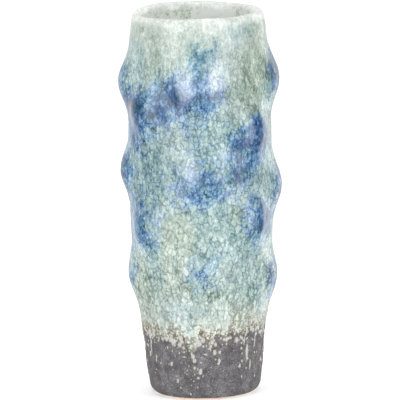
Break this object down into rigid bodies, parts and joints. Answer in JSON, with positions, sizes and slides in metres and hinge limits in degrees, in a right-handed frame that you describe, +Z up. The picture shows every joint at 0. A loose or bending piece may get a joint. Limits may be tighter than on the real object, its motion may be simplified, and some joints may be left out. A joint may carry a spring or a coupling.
{
  "type": "stoneware vase",
  "caption": "Tall hand-built stoneware vase with a slight taper, a rounded lip and foot, soft knobs all round, a glossy mottled glaze above and a dry dark slip band at the base.",
  "frame": {"origin": "centre of the face the vase stands on", "axes": "+Z up along the vase's axis, the front faces -Y, +X is to the right as seen from the front"},
  "size_m": [0.1048, 0.1041, 0.25],
  "materials": {
    "bare_clay": "matte",
    "matt_slip": "matte",
    "outer_glaze": "gloss",
    "liner_glaze": "gloss"
  },
  "bodies": {
    "root": {"base_slab": "bare_clay", "seam_coil": "bare_clay", "body_wall": "bare_clay", "rim_coil": "bare_clay", "knob_high_front": "bare_clay", "knob_high_right": "bare_clay", "knob_high_back": "bare_clay", "knob_high_left": "bare_clay", "knob_shoulder_front_right": "bare_clay", "knob_shoulder_back_right": "bare_clay", "knob_shoulder_back_left": "bare_clay", "knob_shoulder_front_left": "bare_clay", "knob_middle_front": "bare_clay", "knob_middle_right": "bare_clay", "knob_middle_back": "bare_clay", "knob_middle_left": "bare_clay", "knob_belly_front_right": "bare_clay", "knob_belly_back_right": "bare_clay", "knob_belly_back_left": "bare_clay", "knob_belly_front_left": "bare_clay", "knob_low_front": "bare_clay", "knob_low_right": "bare_clay", "knob_low_back": "bare_clay", "knob_low_left": "bare_clay", "matt_slip_band": "matt_slip", "outer_glaze": "outer_glaze", "liner_glaze": "liner_glaze"}
  },
  "joints": []
}
